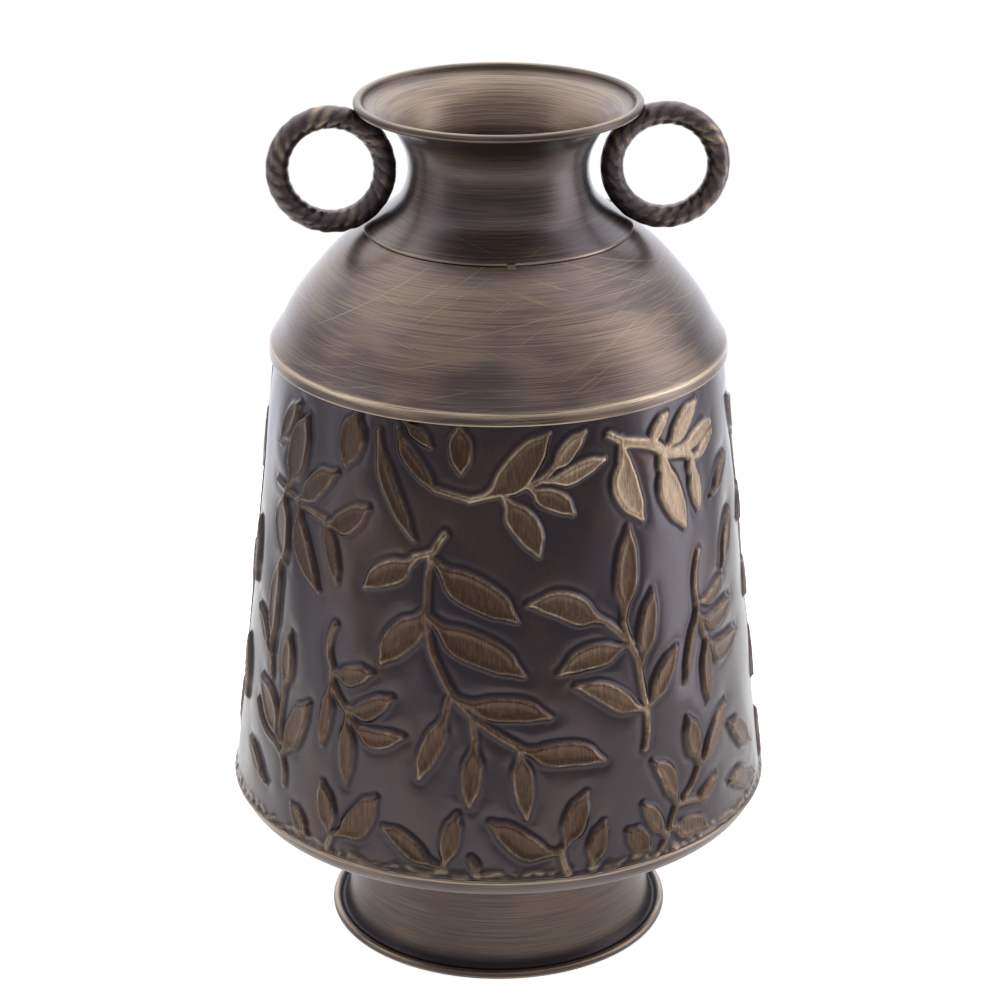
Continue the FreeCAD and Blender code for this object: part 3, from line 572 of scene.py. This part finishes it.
def leafDistance(x, z, row):
    # distance inside the leaf's outline, less than zero outside it
    base, tip = onChart(*row[0:2]), onChart(*row[2:4])
    width, bend = row[4:6]
    run = tip - base
    length = np.linalg.norm(run)
    ahead = run / length
    left = np.array([-ahead[1], ahead[0]])
    along = ((x - base[0]) * ahead[0] + (z - base[1]) * ahead[1]) / length
    across = (x - base[0]) * left[0] + (z - base[1]) * left[1]
    share = np.clip(along, 0, 1)
    bow = bend * 4 * share * (1 - share) - wall["sway"] * ahead[0] * np.sin(fullTurn * share)
    across = across - length * bow
    swell = length * width / 2 - wall["neckHalf"]
    half = wall["neckHalf"] * (1 - share / 2) + swell * np.interp(share, leafOutline[:, 0], leafOutline[:, 1])
    slope = swell / length * np.interp(share, leafOutline[:, 0], leafSlope)
    inside = (half - np.abs(across)) / np.sqrt(1 + slope ** 2)
    beyond = np.hypot((along - share) * length, np.maximum(np.abs(across) - half, 0))
    return np.where(along == share, inside, -beyond)


def stemDistance(x, z, row):
    # distance inside a curved stem, less than zero outside it
    start, middle, end = (onChart(*row[i:i + 2]) for i in (0, 2, 4))
    control = 2 * middle - (start + end) / 2
    t = np.linspace(0, 1, wall["stemPoints"])[:, None]
    path = (1 - t) ** 2 * start + 2 * t * (1 - t) * control + t ** 2 * end
    nearest = np.full(x.shape, np.inf)
    for a, b in zip(path[:-1], path[1:]):
        run = b - a
        share = np.clip(((x - a[0]) * run[0] + (z - a[1]) * run[1]) / run.dot(run), 0, 1)
        nearest = np.minimum(nearest, np.hypot(x - a[0] - share * run[0], z - a[1] - share * run[1]))
    return wall["stemHalf"] - nearest


def embossing(angle, height):
    # distances to the nearest leaf and stem over the whole wall, and how strongly each place is gilt
    leaf = np.full((len(height), len(angle)), wall["far"])
    stem = leaf.copy()
    gilt = np.full(leaf.shape, wall["plainGilt"])
    radius = wallRadius(height)
    start = math.radians(wall["turn"])
    kinds = (("leaves", leafDistance, leaf, (0, 2), 0), ("stems", stemDistance, stem, (0, 2, 4), wall["stemGilt"]))
    for turn, group in ((start, sprigs), (start + math.pi, sprigs), (0, sideSprigs)):
        local = (angle - turn + math.pi) % fullTurn - math.pi
        for sprig in group.values():
            for kind, distance, field, places, moreGilt in kinds:
                for row in sprig[kind]:
                    points = np.array([onChart(*row[i:i + 2]) for i in places])
                    size = np.ptp(points, axis=0).max() * wall["reachShare"] + wall["reach"]
                    low, high = points.min(axis=0) - size, points.max(axis=0) + size
                    rowIndex = np.where((height > low[1]) & (height < high[1]))[0]
                    middle = radius[rowIndex].mean()
                    columnIndex = np.where((local * middle > low[0]) & (local * middle < high[0]))[0]
                    window = np.ix_(rowIndex, columnIndex)
                    x = local[columnIndex][None, :] * radius[rowIndex][:, None]
                    z = np.repeat(height[rowIndex][:, None], len(columnIndex), axis=1)
                    found = distance(x, z, row)
                    nearer = (found > np.maximum(leaf, stem)[window]) & (found > wall["giltReach"])
                    gilt[window] = np.where(nearer, sprig["gilt"] + moreGilt, gilt[window])
                    field[window] = np.maximum(field[window], found)
    return leaf, stem, gilt


def buildBody(material):
    angle = np.linspace(-math.pi, math.pi, wall["columns"], endpoint=False)
    height = np.linspace(wall["low"], wall["high"], wall["rows"])
    leaf, stem, gilt = embossing(angle, height)
    edge = np.maximum(leaf, stem)
    leafTop = wall["leafRise"] * smoothStep(*wall["leafFlank"], leaf)
    leafTop += wall["crestRise"] * bump(*wall["crestBump"], leaf)
    leafTop -= wall["dish"] * smoothStep(*wall["dishFlank"], leaf)
    relief = np.maximum(leafTop, wall["stemRise"] * smoothStep(*wall["stemFlank"], stem))
    relief -= wall["moat"] * bump(*wall["moatBump"], edge)
    relief += wall["pillow"] * smoothStep(*wall["pillowFlank"], edge)
    a, z = angle[None, :], height[:, None]
    relief += wall["unevenness"] * handWaves(a, z, **wall["waves"])
    crown = wall["base"] + wall["height"]
    relief *= smoothStep(crown + wall["fadeAbove"], crown - wall["fadeBelow"], z)
    # the crinkled lower edge: a ridge that wanders and breaks up
    crinkle = wall["crinkle"]
    above = z - wall["low"]
    crimp = bump(crinkle["above"], crinkle["width"], above)
    ripple = crinkle["rippleMean"] + crinkle["rippleDepth"] * handWaves(a, z, **crinkle["ripple"])
    course = crinkle["ridgeAbove"] + crinkle["wander"] * handWaves(a, 0 * z, **crinkle["course"])
    ridge = bump(course, crinkle["ridgeWidth"], above) * smoothStep(*crinkle["ridgeFlank"], ripple)
    relief = relief * (1 - crinkle["flattens"] * crimp) + crimp * crinkle["depth"] * ripple
    relief += crinkle["ridgeRise"] * ridge + wall["lap"] * smoothStep(wall["lapHeight"], 0, above)
    innerHeight = np.linspace(wall["high"], wall["low"], wall["innerRows"])[:, None]
    inner = np.repeat(wallRadius(innerHeight) - wall["sheet"], wall["columns"], axis=1)
    radius = np.vstack([wallRadius(z) + relief, inner])
    heights = np.repeat(np.vstack([z, innerHeight]), wall["columns"], axis=1)
    points = np.stack([radius * np.sin(a), -radius * np.cos(a), heights], axis=-1).reshape(-1, 3) * mm
    shine = np.maximum(ridge, crinkle["shine"] * crimp * ripple)
    nothing = np.zeros(inner.shape)
    fields = {"edge": np.vstack([edge, nothing + wall["plainEdge"]]) * mm,
              "gilt": np.vstack([gilt, nothing]), "ridge": np.vstack([shine, nothing])}
    piece = meshPiece("embossedWall", points, gridFaces(len(radius), wall["columns"]), fields)
    standFor(piece, material, "sheet_metal", "body_wall")


# Spun pieces. Outline points are shares of a spread and a rise, as the solids have them.
# A gleam is a brass line round the piece, partly rubbed wear and partly a painted highlight along its bead: its
# strength, its width and its height above the place it belongs to.
# rim, shade and inside are ranges from such a place too; the places are in the builders.
def gleam(line, above):
    strength, width, place = line
    return strength * bump(place, width, above)


def sharePoints(shares, start, spread):
    return [(start[0] + spread[0] * out, start[1] + spread[1] * up) for out, up in shares]


foot = {
    "height": 61.95, "wallRadius": 67.0, "flangeRadius": 76.0, "bead": 2.0, "flat": 0.25, "cove": 24.0,
    "endSlope": 35, "curlTurn": 250, "curlSteps": 26, "step": 1.0, "sheet": 0.8,
    "shares": [(0.0, 1.0), (0.08, 0.55), (0.20, 0.28), (0.34, 0.14), (0.47, 0.092)],
    "rim": (-2.6, -2.0), "topGleam": (0.4, 0.9, 0.0), "lowGleam": (0.5, 0.35, 1.0),
    "shadeHeight": (10.0, 4.0), "shadeRadius": (-1.9, -3.4),
}


def buildFoot(material):
    points = [(foot["wallRadius"], foot["height"])]
    points += sharePoints(foot["shares"], (foot["wallRadius"], 0),
                          (foot["flangeRadius"] - foot["wallRadius"], foot["cove"]))
    centre = np.array([foot["flangeRadius"] - foot["bead"], foot["bead"] - foot["flat"]])
    points.append(centre + slopeVector(foot["endSlope"] + 90) * foot["bead"])
    path = clampedCurve(points, -90, foot["endSlope"], foot["step"])
    path = np.vstack([path, rolledEdge(centre, path[-1], foot["curlTurn"], foot["curlSteps"])])
    loop = sheetLoop(path, -foot["sheet"])
    loop[:, 1] = np.maximum(loop[:, 1], 0)
    height, beyond = loop[:, 1], loop[:, 0] - foot["flangeRadius"]
    beadTop = 2 * foot["bead"] - foot["flat"]
    edge = gleam(foot["topGleam"], height - beadTop) + gleam(foot["lowGleam"], height)
    edge *= smoothStep(*foot["rim"], beyond)
    shade = smoothStep(*foot["shadeHeight"], height) * smoothStep(*foot["shadeRadius"], beyond)
    standFor(spinLoop("spunFoot", loop, {"edge": edge, "shade": shade}), material, "sheet_metal", "foot")


pan = {
    "floor": 62.0, "edgeRadius": 119.2, "bead": 1.1, "edgeHeight": 71.9, "corner": 13.0, "share": (0.74, 0.24),
    "curlTurn": 230, "curlSteps": 20, "step": 0.6, "sheet": 0.8, "floorRadii": (0.01, 60, 100),
    "rim": (-0.6, -0.1), "rimGleam": 0.45,
}


def buildPan(material):
    centre = np.array([pan["edgeRadius"] - pan["bead"], pan["edgeHeight"]])
    floorRadius = centre[0] - pan["bead"] + pan["sheet"] - pan["corner"]
    points = [(floorRadius, pan["floor"])]
    points += sharePoints([pan["share"]], points[0], (pan["corner"], pan["edgeHeight"] - pan["floor"]))
    points.append(centre + slopeVector(180) * (pan["bead"] - pan["sheet"]))
    path = clampedCurve(points, 0, 90, pan["step"])
    path = np.vstack([[(radius, pan["floor"]) for radius in pan["floorRadii"]], path,
                      rolledEdge(centre, path[-1], pan["curlTurn"], pan["curlSteps"])])
    loop = sheetLoop(path, pan["sheet"])
    loop[:, 0] = np.maximum(loop[:, 0], pan["floorRadii"][0])
    edge = smoothStep(*pan["rim"], loop[:, 0] - pan["edgeRadius"]) * pan["rimGleam"]
    standFor(spinLoop("bottomPan", loop, {"edge": edge}), material, "sheet_metal", "bottom_pan")


shoulder = {
    "radius": 98.3, "crest": 274.4, "bend": 1.8, "bendSteps": 8, "skirt": 3.9, "skirtStart": 0.6, "skirtSteps": 6,
    "neckRadius": 57.3, "rise": 48.2, "startSlope": -34, "endSlope": -52, "step": 1.2, "sheet": 0.8,
    "shares": [(-0.08, 1.046), (0.0, 1.0), (0.212, 0.864), (0.371, 0.740), (0.498, 0.616),
               (0.617, 0.492), (0.724, 0.368), (0.812, 0.244), (0.888, 0.120), (0.951, 0.037)],
    "rim": (-1.3, -0.3), "crestGleam": (1.0, 1.1, -1.0), "skirtGleam": (0.7, 0.5, -5.7),
    "shade": 0.22, "shadeRadius": (18.7, -1.3),
}


def buildShoulder(material):
    points = sharePoints(shoulder["shares"], (shoulder["neckRadius"], shoulder["crest"]),
                         (shoulder["radius"] - shoulder["neckRadius"], shoulder["rise"]))
    centre = np.array([shoulder["radius"] - shoulder["bend"], shoulder["crest"] - shoulder["bend"]])
    points.append(centre + slopeVector(shoulder["endSlope"] + 90) * shoulder["bend"])
    path = clampedCurve(points, shoulder["startSlope"], shoulder["endSlope"], shoulder["step"])
    path = np.vstack([path, rolledEdge(centre, path[-1], 90 + shoulder["endSlope"], shoulder["bendSteps"])])
    drops = np.linspace(shoulder["skirtStart"], shoulder["skirt"], shoulder["skirtSteps"])[:, None]
    path = np.vstack([path, path[-1] - np.array([[0, 1]]) * drops])
    loop = sheetLoop(path, -shoulder["sheet"])
    above = loop[:, 1] - shoulder["crest"]
    edge = np.maximum(gleam(shoulder["crestGleam"], above), gleam(shoulder["skirtGleam"], above))
    edge *= smoothStep(*shoulder["rim"], loop[:, 0] - shoulder["radius"])
    shade = shoulder["shade"] * smoothStep(*shoulder["shadeRadius"], loop[:, 0] - shoulder["neckRadius"])
    standFor(spinLoop("domedShoulder", loop, {"edge": edge, "shade": shade}), material, "sheet_metal", "shoulder")


neck = {
    "footRadius": 57.3, "footHeight": 323.63, "waistRadius": 38.2, "waistHeight": 349.5, "footSlope": 146,
    "rimRadius": 60.9, "rimHeight": 378.6, "bead": 1.9, "rimSlope": 85, "curlTurn": 250, "curlSteps": 26,
    "step": 0.8, "sheet": 0.8,
    "lowerShares": [(1.0, 0.0), (0.735, 0.131), (0.43, 0.302), (0.205, 0.472), (0.089, 0.64), (0.018, 0.83)],
    "mouthShares": [(0.0, 0.0), (0.034, 0.20), (0.135, 0.395), (0.295, 0.585), (0.5, 0.725), (0.72, 0.815),
                    (0.885, 0.860)],
    "rim": (-0.5, -0.2), "rimGleam": (0.35, 0.22, -0.1), "lipGleam": (0.3, 0.3, -2.2),
    "footGleam": (0.45, 0.4, 0.0), "inside": (-4.5, 2.5),
    "shade": 0.6, "shadeRadius": (-7.5, -3.5), "shadeHeight": -8.6,
}


def buildNeck(material):
    waist = (neck["waistRadius"], neck["waistHeight"])
    centre = np.array([neck["rimRadius"] - neck["bead"], neck["rimHeight"] - neck["bead"]])
    points = sharePoints(neck["lowerShares"], (waist[0], neck["footHeight"]),
                         (neck["footRadius"] - waist[0], waist[1] - neck["footHeight"]))
    points += sharePoints(neck["mouthShares"], waist, (centre[0] - waist[0], neck["rimHeight"] - waist[1]))
    points.append(centre + slopeVector(neck["rimSlope"] + 90) * (neck["bead"] - neck["sheet"]))
    path = clampedCurve(points, neck["footSlope"], neck["rimSlope"], neck["step"])
    path = np.vstack([path, rolledEdge(centre, path[-1], neck["curlTurn"], neck["curlSteps"])])
    loop = sheetLoop(path, neck["sheet"])
    height = loop[:, 1]
    above, beyond = height - neck["rimHeight"], loop[:, 0] - neck["rimRadius"]
    edge = gleam(neck["rimGleam"], above) + smoothStep(*neck["rim"], beyond) * gleam(neck["lipGleam"], above)
    edge = np.maximum(edge, gleam(neck["footGleam"], height - neck["footHeight"]))
    inside = (np.arange(len(loop)) > len(path)) * smoothStep(*neck["inside"], height - waist[1])
    shade = neck["shade"] * smoothStep(*neck["shadeRadius"], beyond) * (above > neck["shadeHeight"])
    fields = {"edge": edge, "inside": inside, "shade": shade}
    standFor(spinLoop("flaredNeck", loop, fields), material, "sheet_metal", "neck")


# Ring handles: cast rope, its strands as slanting lobes
rope = {
    "ring": 22.6, "bar": 4.85, "reach": 70.4, "height": 348.5, "columns": 432, "rows": 60,
    "strands": 4, "lobes": 24, "lobeRise": 0.46, "lobePower": 0.55, "lobeMean": 0.45, "sideRise": 0.2,
    "unevenness": 0.08, "waveSeed": 11, "waves": {"count": 10, "turns": 40, "rise": 2.0},
    "keptLobe": 0.75, "fadeSeed": 31, "fades": {"count": 6, "turns": 9, "rise": 2.0},
    "upper": (-0.2, 0.9), "upShare": 0.5, "outShare": 0.85,
    "highLobe": 0.75, "highLess": 0.25, "highUpper": 0.40, "highLeast": 0.6,
}


def buildRing(name, side, phase, material, node):
    around = np.linspace(0, fullTurn, rope["columns"], endpoint=False)[None, :]
    about = np.linspace(0, fullTurn, rope["rows"], endpoint=False)[:, None]
    wave = rope["strands"] * about + rope["lobes"] * around + phase
    lobe = ((1 - np.cos(wave)) / 2) ** rope["lobePower"]
    rough = handWaves(around, about, rope["waveSeed"] + side, **rope["waves"])
    fade = handWaves(around, 0 * about, rope["fadeSeed"] + side, **rope["fades"])
    lobe = lobe * (rope["keptLobe"] + (1 - rope["keptLobe"]) * fade)
    facing = np.abs(np.sin(about))  # the grooves are filled on the inner and outer side
    rise = rope["lobeRise"] * (rope["sideRise"] + (1 - rope["sideRise"]) * facing)
    radius = rope["bar"] + rise * (lobe - rope["lobeMean"]) + rope["unevenness"] * rough
    reach = rope["ring"] + radius * np.cos(about)
    x = side * rope["reach"] + reach * np.cos(around)
    y = radius * np.sin(about) + 0 * around
    z = rope["height"] + reach * np.sin(around)
    points = np.stack([x, y, z], axis=-1).reshape(-1, 3) * mm
    # painted highlight: the upper outer side of each ring is made lighter and more worn
    upper = np.sin(around) * rope["upShare"] + side * np.cos(around) * rope["outShare"]
    lit = facing * smoothStep(*rope["upper"], upper) * (rope["highLeast"] + (1 - rope["highLeast"]) * lobe)
    high = rope["highLobe"] * lobe - rope["highLess"] + rope["highUpper"] * lit
    piece = meshPiece(name, points, gridFaces(rope["rows"], rope["columns"]), {"high": high})
    standFor(piece, material, "cast_metal", node)


embossedBronze = bodyMaterial()
shoulderBronze = spunMaterial("brushedShoulder", wear=0.6, scratches=0.5, base=("umber", "brown"))
neckBronze = spunMaterial("brushedNeck", wear=0.35, scratches=0.05, base=("lacquer", "umber"))
footBronze = spunMaterial("brushedFoot", wear=0.35, scratches=0.05, base=("lacquer", "russet"))
panBronze = spunMaterial("brushedPan", wear=0.4, scratches=0.05, base=("plum", "umber"))
ropeBronze = castMaterial("castRope", wear=0.9, lift=0.1)
weldBronze = castMaterial("weldMetal", wear=0.5, lift=0.9)
seamBronze = castMaterial("seamMetal", wear=0.2, lift=0.1)
print("materials made")

buildBody(embossedBronze)
print("body embossed")
buildFoot(footBronze)
buildPan(panBronze)
buildShoulder(shoulderBronze)
buildNeck(neckBronze)
print("spun pieces made")
buildRing("ropeRingLeft", -1, 0.4, ropeBronze, "handle_left")
buildRing("ropeRingRight", 1, 1.7, ropeBronze, "handle_right")
for trim, metal in (("body_seam", seamBronze), ("neck_tacks", weldBronze),
                    ("handle_welds", weldBronze), ("foot_welds", weldBronze)):
    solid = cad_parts[trim]
    solid.data.materials.clear()
    solid.data.materials.append(metal)
print("rings and trim made")

# Camera, floor and light, in metres and degrees; lens and sensor in millimetres
view = {
    "lens": 113.7, "sensor": 36, "across": 0.00066, "turn": -3.0, "targetHeight": 0.1972, "distance": 1.386,
    "elevation": 22.11,
}
floor = {"half": 0.55, "white": 1.0, "lift": 0.70, "glossyLift": 0.42}
# The tent's strengths; a range is of the mirrored ray's direction, away from the camera or up
tent = {
    "cast": (0.95, 0.97, 1.05), "front": 0.36, "level": 0.62, "back": 1.55, "top": 0.78, "topBack": 2.5,
    "levelRange": (-1.0, 0.1), "backRange": (0.45, 0.97), "topRange": (-0.5, 0.6), "upRange": (0.1, 0.8),
    "boxes": ({"centre": 89, "width": 30, "strength": 2.8}, {"centre": -84, "width": 20, "strength": 0.75}),
    "topGlint": 0.45,
}


def placeCamera():
    slope = math.radians(view["elevation"])
    turn = math.radians(view["turn"])
    back = view["distance"] * math.cos(slope)
    camera = bpy.data.objects.new("camera", bpy.data.cameras.new("camera"))
    camera.data.lens = view["lens"]
    camera.data.sensor_width = view["sensor"]
    camera.location = (view["across"] * math.cos(turn) + back * math.sin(turn),
                       view["across"] * math.sin(turn) - back * math.cos(turn),
                       view["targetHeight"] + view["distance"] * math.sin(slope))
    camera.rotation_euler = (math.pi / 2 - slope, 0, turn)
    bpy.context.scene.collection.objects.link(camera)
    bpy.context.scene.camera = camera


def layFloor():
    half = floor["half"]
    corners = np.array([(-half, -half, 0), (half, -half, 0), (half, half, 0), (-half, half, 0)])
    plane = meshPiece("floor", corners, np.array([[0, 1, 2, 3]]))
    material, shader = newMaterial("whiteFloor")
    white = floor["white"]
    matt = shader.add("BsdfDiffuse", None, {"Color": (white, white, white, 1)}).value()
    path = shader.add("LightPath")
    seen = path.value("Is Camera Ray") * floor["lift"] + path.value("Is Glossy Ray") * floor["glossyLift"]
    lift = shader.add("Emission", None, {"Color": (1, 1, 1, 1), "Strength": seen}).value()
    both = shader.add("AddShader", None, {0: matt, 1: lift}).value()
    shader.add("OutputMaterial", None, {"Surface": both})
    plane.data.materials.append(material)


def lightWorld():
    # every ray but a mirrored one meets plain white; mirrored ones meet a tent that is dim before the vase
    world = bpy.data.worlds.new("studio")
    bpy.context.scene.world = world
    world.use_nodes = True
    shader = Shader(world.node_tree)
    direction = shader.add("TexCoord").value("Generated")
    split = shader.add("SeparateXYZ", None, {0: direction})
    across, away, up = split.value("X"), split.value("Y"), split.value("Z")
    azimuth = across.maths("ARCTAN2", across, 0 - away) * (180 / math.pi)
    low = shader.between(away, *tent["levelRange"], tent["front"], tent["level"])
    low = low + shader.between(away, *tent["backRange"], 0.0, tent["back"] - tent["level"])
    glint = 0
    for box in tent["boxes"]:
        centre, width = box["centre"], box["width"]
        rising = shader.between(azimuth, centre - width, centre, 0.0, box["strength"])
        glint = glint + rising * shader.between(azimuth, centre, centre + width, 1.0, 0.0)
    low = low + glint
    high = shader.between(away, *tent["topRange"], tent["top"], tent["topBack"]) + glint * tent["topGlint"]
    share = shader.between(up, *tent["upRange"])
    glow = low * (1 - share) + high * share
    glossy = shader.add("LightPath").value("Is Glossy Ray")
    strength = 1 + glossy * (glow - 1)
    tint = shader.blend(glossy, (1, 1, 1), tent["cast"])
    sky = shader.add("Background", None, {"Color": tint, "Strength": strength}).value()
    shader.add("OutputWorld", None, {"Surface": sky})


placeCamera()
layFloor()
lightWorld()
bpy.context.scene.view_settings.view_transform = "Standard"
print("camera and light placed")
